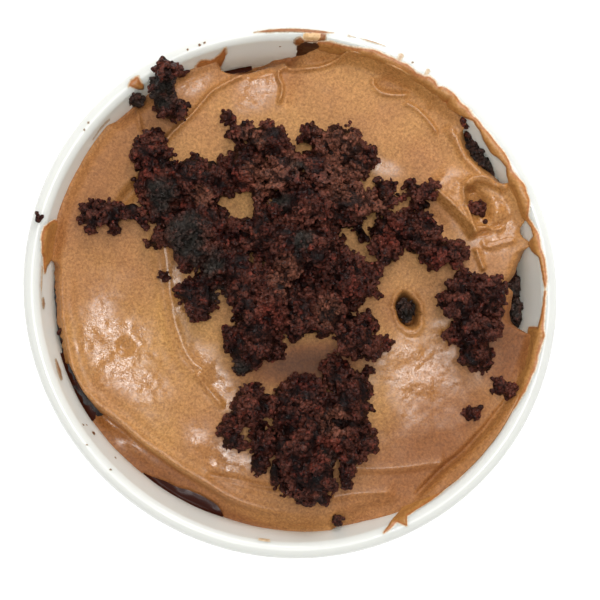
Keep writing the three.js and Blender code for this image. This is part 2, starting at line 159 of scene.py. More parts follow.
# Dents (positive depth) and mounds: centre, half-length, half-width, turn in degrees, depth and
# how flat the bottom is.
DENTS = [
    (-27.1, 16.6, 3.2, 1.1, 48, 1.5, 1.4), (17.9, 35.2, 3.7, 1.35, -4, 0.9, 2.4),
    (32.2, 14.4, 2.9, 1.7, 112, 1.5, 1.6), (30.8, 17.4, 0.6, 0.45, 20, 1.4, 1.6),
    (24.6, 11.8, 4.2, 1.6, -42, 0.8, 1), (24.6, 24, 4.2, 2, -35, 0.6, 1), (-28, -9.4, 1.3, 1.3, 0, 0.55, 2),
    (-27.6, -9, 0.8, 0.8, 0, -0.4, 1), (0, 6, 24, 22, 0, -0.7, 1), (6, -16, 16, 9, 0, 0.7, 1),
    (34.9, 13.4, 1.7, 1.4, 0, -0.7, 1), (13.4, -37.6, 5.6, 1.7, 12, 1.2, 1.6),
    (-25.6, -27.4, 5, 1.6, -38, -0.9, 1),
]

# Patches of fine wrinkles left by the spatula: centre, half-length, half-width, turn of the
# patch, and direction of the wrinkles.
WRINKLES = [
    (-28.6, -10.6, 12.5, 7.4, -52, 38), (-19.8, 1, 6, 1.8, -70, 60), (-13.8, -14.2, 7.5, 2.8, -58, 100),
    (22.3, -13.4, 10.5, 8.2, 60, 62), (-5.8, 34.6, 6.2, 3.2, 58, 25), (33.8, 11, 8, 5.4, -60, -50),
    (15.5, 21.2, 4.4, 2, -20, -30), (-12.6, -27.6, 8, 3.6, -40, 70), (-29, -23.8, 6, 1.8, -45, -45),
    (-16.4, 35.2, 4, 1.6, 30, 20),
]

# The pit round the sunken lump: centre, half-length, half-width and turn, and its depth.
PIT = (19.8, -3.4, 3.0, 1.9, 105)
PIT_DEPTH = 3.8

# Patches of painted shade in the frosting's colour, for the light falling off towards the sides and
# the bottom and for the shadow between the lumps: centre, half-length, half-width, turn of the
# patch and strength. A strength past 1 paints deeper shade.
PAINTED_SHADE_SPOTS = [
    (24, -25, 15, 9, 48, 1.05), (-30, 1, 10, 6, 90, 0.4), (-4, -36, 22, 7, 0, 0.55),
    (-31, 21, 15, 6, 56, 0.75), (36.5, -9, 9, 5, 80, 1.4), (2.5, -12.4, 10, 3.6, 8, 1.7),
    (19, -3, 5, 4, 0, 0.7),
]

# Unevenness in layers of noise: height, size and slice of the noise.
FROSTING_SWELLS = [(0.5, 16, 0), (0.2, 5, 1)]
FROSTING_GRAIN = [(0.09, 2.6, 6), (0.035, 0.9, 8)]
SHEEN_BREAKS = [(1, 3.2, 5), (0.5, 1.1, 7)]
CAKE_CRUMB = [(0.4, 3, 1), (0.3, 1.2, 2), (0.175, 0.5, 3)]

# Pools of dark glossy sauce in the low places by the wall: level, then how far the sauce reaches
# inwards at each angle.
SAUCE = [
    (52.9, [(231, 0), (233, 0.3), (236, 1), (241, 1.7), (245, 2), (249, 2.2), (251, 1.7), (252.6, 0.8),
        (253.4, 0)]),
    (54.1, [(195, 0), (199, 0.8), (203, 1), (207, 1.3), (210, 1.5), (212, 0.7), (213.4, 0)]),
    (50.7, [(99.6, 0), (101, 0.2), (103, 0.6), (105, 0.9), (106.4, 0.7), (107.4, 0)]),
]

# Frosting smeared on the rim and the wall: thickness, raggedness, tone, then angles and how far
# the band reaches there, measured over the rim from the cup's outermost edge. The rim's top lies
# at 2.3 and the wall starts at 4.1. Tone is 0 for frosting, 1 for dark sauce and -1 for pale cream.
SMEARS = [
    (0.42, 0.3, 0, [(-10.4, 2.75, 7), (-9.3, 2.75, 4.5), (-6.4, 2.85, 4.1), (-3.4, 2.8, 3.8),
        (-0.3, 2.7, 3.5), (2.7, 2.6, 3.5), (5.7, 2.65, 3.6), (7.7, 2.65, 4), (9.4, 2.65, 6.2),
        (11.4, 2.7, 7), (12.6, 2.8, 4.2), (14.8, 3.2, 4.2), (16.4, 3.4, 5.2), (17.6, 3.5, 6.6),
        (19.4, 2.8, 6.8), (20.8, 2.45, 6.8), (23.8, 2.3, 6.8), (26.8, 2.5, 5.4), (29.9, 2.7, 3.9),
        (32.9, 2.55, 4.5), (35, 2.7, 5.6), (38, 2.75, 5.2), (40, 2.7, 4.1), (43, 2.5, 3.7), (45, 2.3, 4.8),
        (48, 2.45, 5.8), (51, 2.05, 6.4)]),
    (0.32, 0.45, 0.1, [(50, 2.15, 6.4), (52.5, 2.15, 6.4), (54.1, 2.75, 6.4), (55.4, 2.45, 6.4),
        (57.1, 2.25, 6.4), (60.1, 2.95, 6.4), (63.1, 2.65, 6.6), (72.2, 2.65, 6.6), (75.2, 2.95, 6.6),
        (78.3, 3.25, 6.8), (81.3, 3.15, 6.8), (84, 3.45, 6)]),
    (0.06, 0.12, 0.2, [(57.6, 1.6, 2.6), (58.2, 1.1, 2.8), (58.6, 1.7, 2.8)]),
    (0.06, 0.12, 0.2, [(64.4, 1.4, 2.8), (65, 1, 3), (65.5, 1.6, 3)]),
    (0.55, 0.12, 0.3, [(80.6, 1.55, 1.7), (83, 1.55, 2.15), (86, 1.55, 2.35), (90, 1.6, 2.4),
        (94, 1.75, 2.4), (98.4, 1.95, 2.2)]),
    (0.3, 0.12, 0.3, [(69, 0.95, 1.25), (73, 1.15, 1.5), (77.5, 1.35, 1.7)]),
    (0.25, 0.35, -0.8, [(83.2, 2.3, 3.2), (84.4, 2, 3.5), (86, 2.1, 3.6), (87.4, 2.5, 3.5)]),
    (0.2, 0.25, 0.45, [(82.2, 2, 3.2), (83.4, 2, 3.5), (84, 3.3, 3.8), (87, 3.5, 4.1), (88, 2.8, 5.6),
        (88.9, 3, 5.6), (89.8, 3.7, 4.6)]),
    (0.3, 0.25, 1, [(82.8, 3.6, 4.4), (84, 3.9, 6.2), (85.4, 4.3, 7.6), (86.8, 4, 9.4), (87.8, 4, 10.2),
        (88.6, 4.9, 9.6)]),
    (0.14, 0.3, 0.1, [(104.9, 3.7, 5.9), (105.6, 3.8, 6.8), (106.4, 4.8, 8.9), (107.3, 5.6, 10.6),
        (108.3, 6.3, 9.6), (109.3, 6.5, 9), (110.4, 5.7, 8.7), (111.4, 5.4, 8.4), (112.3, 5.9, 8.2),
        (113.3, 6.9, 8)]),
    (0.3, 0.2, 0.2, [(125.4, 2, 2.8), (126.3, 1.7, 5.6), (127.4, 1.7, 4.2), (128.6, 2.1, 2.9),
        (129.2, 2.4, 2.8)]),
    (0.05, 0.15, 0.3, [(136.6, 5.2, 6), (139, 4.9, 5.8), (143, 5.4, 6)]),
    (0.3, 0.45, 0.1, [(163.2, 6.4, 7.4), (164.5, 4.1, 8.4), (165.6, 3.5, 9), (168.6, 3.2, 10.4),
        (171.5, 3.8, 10), (172.6, 4.7, 8.6), (174.4, 5, 7), (176.4, 5.6, 6.4)]),
    (0.12, 0.35, 0.2, [(174.4, 4.5, 5.2), (177.5, 4.6, 5.2), (180.4, 4.4, 5.1), (182.8, 4.5, 5.2)]),
    (0.1, 0.2, 0.4, [(181.6, 4.7, 5.8), (183.2, 4.6, 6.1), (184.4, 5, 5.6)]),
    (0.1, 0.3, 0.4, [(196.2, 5.8, 6.5), (197.3, 5.5, 6.8), (199, 5.2, 6.9), (201.5, 5.1, 6.2)]),
    (0.03, 0.2, -0.3, [(262.4, 3.7, 4.7), (265.2, 3.7, 4.8)]),
    (0.42, 0.3, 0.1, [(290.7, 2.6, 2.8), (292.5, 2.8, 3.9), (294.4, 3.4, 6), (296.1, 2.1, 7.4),
        (297.2, 4, 8.4), (299.6, 4.35, 9.2), (302.6, 4.35, 9.5), (305.6, 4.35, 9.6), (308.6, 4.75, 9.6),
        (311.6, 4.55, 9.4), (314.6, 5.1, 9.2), (317.6, 5.4, 9), (320.6, 5, 9), (323.6, 4.2, 9),
        (326.6, 4.2, 9), (329.6, 4.7, 8.6), (332.6, 3.75, 8), (335.5, 3.35, 7.8), (338.5, 3.1, 7.6),
        (341.6, 3, 7.4), (344.6, 2.9, 7.4), (347.6, 2.75, 7.6), (350.6, 2.7, 8), (351.6, 3.25, 8)]),
]

# Specks of frosting and cake on the rim: angle, place over the rim and radius.
SPECKS = [
    (109.4, 2, 0.13), (110.6, 2.1, 0.16), (113.4, 2.1, 0.13), (140.6, 2.2, 0.12), (142.4, 2.4, 0.1),
    (213, 4.8, 0.16), (213.4, 6, 0.12), (215.9, 6.4, 0.27), (217.2, 2.6, 0.1), (223.6, 6.9, 0.16),
    (224.9, 2.9, 0.12), (62, 1.8, 0.12), (92.6, 6, 0.12),
]
SPECK_TONE = 0.8

# The lumps of cake by piece, with the shift of each lump in x and y.
CRUMB_GROUPS = {
    "crumbs_centre": {"crumb_centre": (0.1, -0.4)},
    "crumbs_lower": {"crumb_lower": (-0.1, -1.0)},
    "crumbs_upper_left": {"crumb_upper_left": (0.4, -0.9)},
    "crumbs_top": {"crumb_top_left": (0.0, -0.9), "crumb_top_right": (-0.3, -1.0)},
    "crumbs_right": {"crumb_arm": (0.2, -0.1), "crumb_right": (-0.4, -0.8), "crumb_star": (0.3, 0.0)},
    "crumbs_edge": {"crumb_left": (0.8, -1.1), "crumb_leaning": (-0.4, -0.2), "crumb_sunk": (-0.1, -0.3)},
}
# Chunks that stick out of the lumps, and bites out of them: x, y, z and radius.
CHUNKS = {
    "crumbs_centre": [(15.5, 6.6, 59.5, 2.3), (13.4, 3.8, 60, 2.2), (12.8, 0.4, 60, 1.9),
        (-5.4, 16.2, 60, 2), (-9.3, 10.6, 59.5, 1.5), (11.9, 9.4, 60, 1.9), (-11.4, -3.2, 60, 1.5)],
    "crumbs_lower": [(-10, -25, 59, 1.9), (-4.9, -29, 59, 1.9), (12.9, -25.4, 59.5, 2.1),
        (10.1, -28.6, 59.5, 1.8), (1.7, -34.6, 58.6, 1.8), (-3, -30.6, 59, 1.8), (9.2, -30.8, 59, 1.6)],
    "crumbs_upper_left": [(-22.9, 8.8, 59.5, 1.8)],
    "crumbs_right": [(27.3, -7.8, 59, 1.7)],
    "crumbs_edge": [(-26.7, 13.6, 58.6, 1.5), (-24.9, 11.6, 58.6, 1.4), (19.9, -3.9, 54.6, 1.8),
        (19.5, -2.3, 54.2, 1.5)],
}
BITES = {
    "crumbs_centre": [(16.6, -6.2, 60, 3), (-5.4, 12.3, 60, 1.7), (-18.8, 1.8, 60, 1.7),
        (-17.4, -5.2, 60, 1.2), (-12.4, -9.4, 60, 1.4)],
    "crumbs_lower": [(15.2, -17.6, 60, 2.5)],
    "crumbs_upper_left": [(-27.6, 24.4, 60, 1.6), (-27.8, 19, 60, 1.9), (-19.4, 4.2, 60, 1.7),
        (-21.4, 27, 60, 1.7), (-13.4, 23.2, 60, 1.5)],
    "crumbs_right": [(29.8, 6.2, 60, 2), (18.6, 14.7, 60, 1.6), (20, 14.3, 60, 1.2)],
}
VOXEL = 0.25
# How the lumps draw in towards their tops, for each millimetre of height.
NARROWING = 0.0036
LEAN = (0.03, 0.042)
PIECE_LIMIT = 180_000
# Crumb is made of curds, and of grains on the curds: their spacing and range of radius.
CURD_SPACING, CURD_RADII = 1.5, (0.5, 1.1)
GRAIN_SPACING, GRAIN_RADII = 0.66, (0.22, 0.44)
# How much deeper the lumps reach into the frosting than their solids do.
SUNK = 0.8
# Crumb this deep in the frosting is left out, except in the band beside the wall.
BURIED = 0.12
WALL_BAND = 4.6

# Small crumbs, each a chain of balls of cake. On the frosting: x, y, height above it and radius.
SMALL_CRUMBS = [
    [(-21.2, 2.3, 0.2, 0.85)],
    [(-10.6, 29.2, 0.4, 1.1), (-9.9, 28.1, 0.2, 0.8)],
    [(35.6, -15.8, 0.4, 1.2), (36.7, -16.8, 0.3, 1.3), (37.3, -17.4, 0.3, 0.9)],
    [(30.3, -20.7, 0.4, 1.1), (31.4, -20.4, 0.4, 1), (32.2, -19.7, 0.3, 0.95), (29.9, -21.7, 0.2, 0.8)],
    [(31, 14.4, 0.1, 1.1), (32.3, 14.5, 0.2, 1.3), (32.7, 13.1, 0.1, 1.2), (33.2, 12, 0, 0.9)],
    [(30.7, 17.3, -0.2, 0.7)],
    [(-28.4, 13.6, 0.1, 0.7), (-29.6, 13.4, 0.1, 0.6)],
    [(26.2, 23.1, 0.15, 0.7), (26.9, 22.6, 0.1, 0.6)],
]
# By the wall: x, y, z and radius.
WALL_CRUMBS = [
    [(39.2, 1.4, 51, 1.4), (38.8, 0.2, 50.4, 1.5), (39.4, 2.2, 51.4, 1.1)],
    [(38.9, -4, 51.2, 2), (38.5, -5.4, 50.8, 1.8), (39.4, -2.8, 51.4, 1.5)],
    [(32.2, 23.6, 54.8, 1.3), (33.7, 22, 55, 1.3), (34.3, 20.2, 54.4, 1.1), (35.2, 18.9, 54.6, 0.9),
     (31, 25.4, 54.8, 1.5), (30.3, 26.8, 55.6, 1.4), (29.9, 28, 57, 1.1), (29.2, 28.9, 58.2, 0.9),
     (28.6, 30.1, 58.7, 0.8), (28.1, 31.1, 58.8, 0.65)],
    [(-39.4, -1.4, 54, 0.8), (-39.4, -2.8, 53.8, 0.7), (-39.4, -4.3, 54.2, 0.8)],
    [(-39.2, -7.1, 54.4, 0.9), (-38.8, -8.6, 54.2, 0.9), (-38.4, -9.8, 54, 0.8)],
    [(-42.2, 12.2, 60.3, 0.8), (-41.9, 11.5, 60, 0.75), (-42.4, 12.9, 60.1, 0.6)],
    [(-26.5, 32.4, 57.2, 1.2), (-25.7, 31.6, 56.8, 1), (-26.9, 33.2, 57.8, 0.9), (-25, 32.6, 57.4, 0.8)],
    [(7.7, -39.3, 55, 1.1), (7.5, -38.3, 55.3, 1.2), (7.3, -37.3, 55.2, 1)],
    [(-18.3, 37.6, 55.8, 0.7), (-19, 37.2, 55.8, 0.6)],
]

# Moist, dark places in the crumb, whose greyish colour is partly painted sheen; drier, browner
# ones; and rust-red ones: x, y, z and radius.
SPOTS = {
    "moist_sheen": [(-22, 15.4, 62, 4), (-17.6, 9, 62, 5.2), (-14.2, 4.4, 62, 3.8), (-21.4, 34, 60, 5),
        (19.8, -3.4, 55, 4), (2, 8, 64, 2.6), (-9, -14, 60, 3), (6, -28, 60, 2.6), (-2, 14.5, 62, 2.4),
        (1, 20, 62, 2.2), (-12, -1, 60, 2.2), (39, -2, 53, 7), (31.5, 22.5, 54, 6), (7.6, -38.7, 54, 3),
        (-25.8, 33, 57.6, 3)],
    "brown": [(8, 25, 63, 6), (9.5, 18, 62, 6), (1.5, 21.5, 63, 3.6), (-4.5, 19, 63, 5), (13, 14, 62, 4),
        (-0.5, 2, 65, 4.5), (6, -4, 64, 3.6), (7, -22, 62, 3.6), (-15, 15.5, 62, 2.6), (-21, 36.5, 60, 2.4),
        (-6.5, 25.5, 62, 3)],
    "rust": [(-8.5, 17.5, 62, 3), (-24.5, 20, 62, 3.4), (-3.5, -5, 64, 3.6), (17, 9, 62, 3.6),
        (10, -1, 64, 3), (3, 21.5, 62, 3), (-19, 12.5, 62, 3), (6, -27, 61, 3.6), (24.5, 5, 61, 3),
        (-18.6, 34, 60, 1.8)],
}

# ---- colours


def linear(*channels):
    """Display values from 0 to 255 as a linear colour."""
    share = np.array(channels) / 255
    return (*np.where(share <= 0.04045, share / 12.92, ((share + 0.055) / 1.055) ** 2.4), 1.0)


PAPER = linear(234, 235, 229)
FROSTING_LIGHT = linear(200, 148, 84)
FROSTING_DARK = linear(180, 125, 74)
# Painted shade: the next colour darkens the frosting where it lies low and in the patches of painted shade,
# and the one after it paints the deeper shadow between the lumps.
FROSTING_LOW_AND_SHADED = linear(150, 93, 46)
FROSTING_SHADE = linear(84, 44, 16)
CRUMB_DARK = linear(36, 14, 12)
CRUMB_MID = linear(80, 44, 35)
CRUMB_RUST = linear(106, 46, 36)
CRUMB_BROWN = linear(122, 79, 62)
# Painted shade for the crumb's hollows.
CRUMB_HOLLOW_SHADE = linear(9, 4, 4)
# Moist crumb, greyed partly as painted sheen.
CRUMB_MOIST_SHEEN = linear(42, 41, 38)
CAKE_DARK = linear(14, 8, 8)
CAKE_LIGHT = linear(34, 22, 20)
SAUCE_DARK = linear(58, 24, 14)
SMEAR_FAINT = linear(240, 218, 188)
SMEAR_THIN = linear(188, 116, 60)
SMEAR_THICK = linear(194, 138, 76)
SMEAR_DARK = linear(60, 28, 16)
SMEAR_PALE = linear(236, 200, 150)

# ---- small helpers


def smoothstep(low, high, value):
    share = np.clip((value - low) / (high - low), 0, 1)
    return share * share * (3 - 2 * share)


def bell(distance, width):
    return np.exp(-((distance / width) ** 2))


def between_ends(along, fade):
    """Nought at both ends of a line and 1 between them."""
    return smoothstep(0, fade, along) * (1 - smoothstep(1 - fade, 1, along))


def round_cup(angle, rows):
    """The columns of a table of angles, interpolated round the cup."""
    at, *columns = np.array(rows, float).T
    return [np.interp(angle, at, column, period=360) for column in columns]


def hash01(i, j, k):
    wave = np.sin(i * 127.1 + j * 311.7 + k * 74.7) * 43758.5453
    return wave - np.floor(wave)


def noise(x, y, z):
    """Smooth noise from -1 to 1 that varies over one unit of x, y and z."""
    x, y, z = np.broadcast_arrays(x, y, z)
    ci, cj, ck = np.floor(x), np.floor(y), np.floor(z)
    u, v, w = (smoothstep(0, 1, a - c) for a, c in ((x, ci), (y, cj), (z, ck)))
    total = np.zeros(x.shape)
    for a, b, c in itertools.product((0, 1), repeat=3):
        weight = (u if a else 1 - u) * (v if b else 1 - v) * (w if c else 1 - w)
        total += weight * hash01(ci + a, cj + b, ck + c)
    return 2 * total - 1


def uneven(x, y, layers):
    """Layers of noise over x and y."""
    return sum(height * noise(x / size, y / size, cut) for height, size, cut in layers)


def wall_radius(z):
    """Inner radius of the cup's wall."""
    cone = MOUTH - TAPER * (ROLL_HEIGHT - np.minimum(z, ROLL_HEIGHT))
    flare = FLARE_RADIUS - FLARE_SLOPE * (FLARE_HEIGHT - np.clip(z, FLARE_BOTTOM, FLARE_HEIGHT))
    return np.minimum(cone, flare)


def oval(angle):
    """Share by which the cup is wider at an angle."""
    return 1 + OVAL_SHARE * np.cos(np.radians(2 * (angle - OVAL_TOWARD)))


def polar(radius, turn, z):
    """Points from radius, turn and height."""
    return np.stack(np.broadcast_arrays(radius * np.cos(turn), radius * np.sin(turn), z), -1)


def used_only(faces):
    """The points that the faces use, and the faces numbered by them."""
    used, inverse = np.unique(faces, return_inverse=True)
    return used, inverse.reshape(faces.shape)


def spline(points, count):
    """A smooth curve through the points."""
    points = np.array(points, float)
    padded = np.vstack([2 * points[0] - points[1], points, 2 * points[-1] - points[-2]])
    t = np.linspace(0, len(points) - 1 - 1e-9, count)
    i = t.astype(int)
    f = (t - i)[:, None]
    a, b, c, d = (padded[i + k] for k in range(4))
    return 0.5 * (2 * b + (c - a) * f + (2 * a - 5 * b + 4 * c - d) * f**2 + (3 * b - a - 3 * c + d) * f**3)


def path_distance(x, y, points):
    """Distance to a line of points, share of the way along it, and side (+1 on its left)."""
    best, along, side = np.full(x.shape, 1e9), np.zeros(x.shape), np.ones(x.shape)
    for n, (a, step) in enumerate(zip(points, np.diff(points, axis=0))):
        t = np.clip(((x - a[0]) * step[0] + (y - a[1]) * step[1]) / (step @ step), 0, 1)
        dx, dy = x - a[0] - t * step[0], y - a[1] - t * step[1]
        distance = np.hypot(dx, dy)
        nearer = distance < best
        best = np.where(nearer, distance, best)
        along = np.where(nearer, (n + t) / (len(points) - 1), along)
        side = np.where(nearer, np.sign(step[0] * dy - step[1] * dx), side)
    return best, along, side


def new_object(name, data):
    obj = bpy.data.objects.new(name, data)
    bpy.context.scene.collection.objects.link(obj)
    return obj


def mesh_object(name, points, faces, material, smooth=True):
    """A mesh object from points in millimetres and faces that all have the same corner count."""
    points = np.asarray(points, np.float32) * MM
    faces = np.asarray(faces, np.int32)
    mesh = bpy.data.meshes.new(name)
    mesh.vertices.add(len(points))
    mesh.vertices.foreach_set("co", points.ravel())
    mesh.loops.add(faces.size)
    mesh.loops.foreach_set("vertex_index", faces.ravel())
    mesh.polygons.add(len(faces))
    mesh.polygons.foreach_set("loop_start", np.arange(0, faces.size, faces.shape[1], dtype=np.int32))
    mesh.polygons.foreach_set("use_smooth", np.full(len(faces), smooth))
    mesh.update(calc_edges=True)
    mesh.validate()
    mesh.materials.append(material)
    return new_object(name, mesh)


def add_piece(name, slot, nodes, points, faces, material, smooth=True, **attributes):
    """A piece that rides on the cup, with the given material, and may stand for CAD nodes, which it hides.
    Its slot is not used.
    """
    obj = mesh_object(name, points, faces, material, smooth)
    for key, values in attributes.items():
        attribute = obj.data.attributes.new(key, "FLOAT", "POINT")
        attribute.data.foreach_set("value", np.asarray(values, np.float32))
    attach(obj, "root")
    if nodes:
        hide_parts(*nodes)


def grid_faces(rows, columns, wrap=False):
    """Four-cornered faces of a grid of points stored row by row."""
    start = np.arange(rows - 1)[:, None] * columns
    c = np.arange(columns if wrap else columns - 1)[None, :]
    following = (c + 1) % columns
    corners = [start + c, start + columns + c, start + columns + following, start + following]
    return np.stack(corners, -1).reshape(-1, 4)


def ring_surface(rows, sides):
    """Points of a surface, from a function that gives the radius and height of its rows for an
    array of turns."""
    turn = np.linspace(0, 2 * np.pi, sides, endpoint=False)
    return np.concatenate([polar(radius * oval(np.degrees(turn)), turn, z) for radius, z in rows(turn)])


# ---- materials


class Nodes:
    """A Principled material and short ways to add nodes to it."""

    def __init__(self, name, **sockets):
        self.material = bpy.data.materials.new(name)
        self.material.use_nodes = True
        self.tree = self.material.node_tree
        self.shader = self.tree.nodes["Principled BSDF"]
        for socket, value in sockets.items():
            self.set(socket.replace("_", " "), value)

    def feed(self, socket, value):
        """Links the socket to another one, or gives it a plain value."""
        if isinstance(value, bpy.types.NodeSocket):
            self.tree.links.new(value, socket)
        else:
            socket.default_value = value

    def set(self, socket, value):
        self.feed(self.shader.inputs[socket], value)

    def add(self, kind, result, sockets, **settings):
        """A node with its sockets fed. Gives the socket of its result."""
        node = self.tree.nodes.new("ShaderNode" + kind)
        for key, value in settings.items():
            setattr(node, key, value)
        for key, value in sockets.items():
            self.feed(node.inputs[key], value)
        return node.outputs[result]

    def noise(self, scale, detail, distortion=0.0):
        """Noise whose features measure about one over scale millimetres."""
        place = self.add("TexCoord", "Object", {})
        sockets = {"Vector": place, "Scale": scale / MM, "Detail": detail, "Distortion": distortion}
        return self.add("TexNoise", "Fac", sockets)

    def ramp(self, source, stops):
        node = self.tree.nodes.new("ShaderNodeValToRGB")
        while len(node.color_ramp.elements) < len(stops):
            node.color_ramp.elements.new(0.5)
        for element, (position, colour) in zip(node.color_ramp.elements, stops):
            element.position = position
            element.color = (*colour[:3], 1)
        self.feed(node.inputs["Fac"], source)
        return node.outputs["Color"]

    def mix(self, share, first, second, blend="MIX"):
        return self.add("Mix", 2, {0: share, 6: first, 7: second}, data_type="RGBA", blend_type=blend)

    def remap(self, source, low, high, to_low, to_high):
        sockets = {"Value": source, "From Min": low, "From Max": high, "To Min": to_low, "To Max": to_high}
        return self.add("MapRange", "Result", sockets)

    def spread(self, spots, speckles, offset):
        """Spots broken up by speckles, held from 0 to 1."""
        total = self.add("Math", 0, {0: speckles, 1: offset}, operation="ADD")
        return self.add("Math", 0, {0: spots, 1: total}, operation="MULTIPLY", use_clamp=True)

    def attribute(self, name):
        return self.add("Attribute", "Fac", {}, attribute_name=name)

    def bump(self, height, distance, strength):
        """Roughens the surface, over any bumps that it has."""
        sockets = {"Height": height, "Distance": distance * MM, "Strength": strength}
        for link in self.shader.inputs["Normal"].links:
            sockets["Normal"] = link.from_socket
        self.set("Normal", self.add("Bump", "Normal", sockets))

    def tint(self, colour, grain, dark, light):
        """Gives the surface the colour multiplied by a ramp over a grain."""
        self.set("Base Color", self.mix(1.0, colour, self.ramp(grain, [dark, light]), "MULTIPLY"))


def paper_material():
    m = Nodes("cup_paper", Base_Color=PAPER, Roughness=0.3, Coat_Weight=0.35, Coat_Roughness=0.1,
              Subsurface_Weight=0.65, Subsurface_Radius=(2.4 * MM, 2.4 * MM, 2.3 * MM),
              Subsurface_Scale=1.0)
    m.bump(m.noise(0.9, 3), 0.02, 0.5)
    return m.material


def frosting_material():
    m = Nodes("milk_chocolate_frosting", Roughness=0.4, Specular_IOR_Level=0.5, Subsurface_Weight=0.1,
              Subsurface_Radius=(1.0 * MM, 0.5 * MM, 0.25 * MM), Subsurface_Scale=1.0)
    grain = m.noise(2.4, 3, 0.6)
    sheen, wet = m.attribute("sheen"), m.attribute("wet")
    colour = m.mix(m.remap(m.noise(0.06, 2), 0.35, 0.65, 0, 1), FROSTING_DARK, FROSTING_LIGHT)
    # Darker where the frosting lies low, and painted shade in the shaded patches; past 1, painted shadow.
    colour = m.mix(m.remap(wet, 0, 1, 0, 0.95), colour, FROSTING_LOW_AND_SHADED)
    colour = m.mix(m.remap(wet, 1, 2, 0, 1), colour, FROSTING_SHADE)
    colour = m.mix(m.remap(sheen, 0, 1, 0, 0.6), colour, FROSTING_DARK)
    m.tint(colour, grain, (0.3, (0.66, 0.58, 0.44)), (0.7, (1.22, 1.21, 1.19)))
    m.set("Roughness", m.remap(sheen, 0, 1, 0.62, 0.17))
    m.bump(m.noise(1.7, 2, 1.5), 0.034, 0.9)
    m.bump(grain, 0.012, 0.9)
    return m.material


def crumb_material():
    m = Nodes("cake_crumb", Roughness=0.5, Specular_IOR_Level=0.12)
    speckles = m.noise(0.8, 3)
    colour = m.mix(m.remap(m.noise(0.3, 3), 0.35, 0.65, 0, 1), CRUMB_DARK, CRUMB_MID)
    colour = m.mix(m.remap(speckles, 0.56, 0.7, 0, 0.6), colour, CRUMB_RUST)
    colour = m.mix(m.spread(m.attribute("brown"), speckles, 0.05), colour, CRUMB_BROWN)
    colour = m.mix(m.spread(m.attribute("rust"), speckles, 0.0), colour, CRUMB_RUST)
    # Painted shade: darker the deeper a point lies in the lumps' recesses.
    colour = m.mix(m.attribute("hollow"), colour, CRUMB_HOLLOW_SHADE)
    # Moist places: dark crumb, greyed partly as painted sheen.
    colour = m.mix(m.attribute("moist_sheen"), colour, CRUMB_MOIST_SHEEN)
    m.tint(colour, m.noise(2.6, 4), (0.32, (0.16, 0.15, 0.15)), (0.7, (2.3, 2.2, 2.1)))
    m.set("Roughness", m.remap(m.noise(1.5, 2), 0.4, 0.6, 0.6, 0.16))
    m.bump(m.noise(3.0, 3), 0.16, 0.9)
    return m.material


def cake_material():
    m = Nodes("dark_cake", Roughness=0.5)
    fine = m.noise(1.6, 4)
    m.set("Base Color", m.ramp(fine, [(0.3, CAKE_DARK), (0.7, CAKE_LIGHT)]))
    m.bump(fine, 0.2, 0.8)
    return m.material


def sauce_material():
    m = Nodes("dark_sauce", Base_Color=SAUCE_DARK, Roughness=0.2, Specular_IOR_Level=0.14)
    m.bump(m.noise(0.5, 2), 0.1, 0.6)
    return m.material


def smear_material():
    m = Nodes("frosting_smear", Roughness=0.35)
    stops = [(0.0, PAPER), (0.1, SMEAR_FAINT), (0.32, SMEAR_THIN), (1.0, SMEAR_THICK)]
    film, tone, grain = m.ramp(m.attribute("cover"), stops), m.attribute("tone"), m.noise(2.4, 3)
    dark = m.mix(m.remap(tone, 0.0, 1.0, 0, 1), film, SMEAR_DARK)
    colour = m.mix(m.remap(tone, 0.0, -1.0, 0, 1), dark, SMEAR_PALE)
    m.tint(colour, grain, (0.3, (0.78, 0.71, 0.6)), (0.7, (1.12, 1.11, 1.1)))
    m.bump(grain, 0.08, 0.7)
    return m.material


# ---- the cup


def cup_profile():
    """Radius and height of the cup's section, from the middle of the floor's underside round
    the rim to the middle of the floor."""
    inside, corner = FOOT - SKIRT, FOOT - SKIRT + TAPER * RECESS
    under = [(0.0, RECESS), (inside - 1.0, RECESS), (corner - 0.4, RECESS - 0.05), (corner, RECESS - 0.5)]
    turn = np.radians(np.linspace(180, 360, 7))
    half = SKIRT / 2
    skirt = np.stack([FOOT - half + half * np.cos(turn), half + half * np.sin(turn)], -1)
    wall = np.linspace((FOOT, 0.9), (MOUTH + PAPER_WALL, ROLL_HEIGHT - ROLL - 0.1), 14)[1:]
    turn = np.radians(np.linspace(-118, 180 - math.degrees(LEAVES), 40))
    reach = ROLL * (1 - 0.035 * np.cos(3 * turn - 0.6) ** 2)
    roll = np.stack([ROLL_RADIUS + reach * np.cos(turn), ROLL_HEIGHT + reach * np.sin(turn)], -1)
    z = np.linspace(FLARE_HEIGHT - 0.3, FLOOR_TOP + 0.6, 30)
    inner = np.stack([wall_radius(z), z], -1)
    floor = [(wall_radius(FLOOR_TOP) - 0.6, FLOOR_TOP), (0.0, FLOOR_TOP)]
    return np.concatenate([under, [(inside, 0.5)], skirt, wall, roll, inner, floor])


def make_cup(material):
    profile, sides = cup_profile(), 240
    faces = grid_faces(len(profile), sides, wrap=True)[:, ::-1]
    add_piece("paper_cup", "cup", ["cup"], ring_surface(lambda turn: profile, sides), faces, material)


# ---- the frosting


def slot_depth(angle):
    """How far the frosting stays back from the wall."""
    turned = np.mod(angle + 90, 360) - 90
    wobble = 0.14 * noise(turned * 0.55, 7.3, 1.0) + 0.07 * noise(turned * 1.4, 2.3, 5.0)
    before, depth, after = (round_cup(turned + step, SLOTS)[0] for step in (-0.7, 0, 0.7))
    smooth = (depth + (before + after) / 2) / 2
    return np.maximum(smooth + wobble * smoothstep(0.1, 1.0, smooth), 0)


LIP_LINE = spline(LIP, 90)


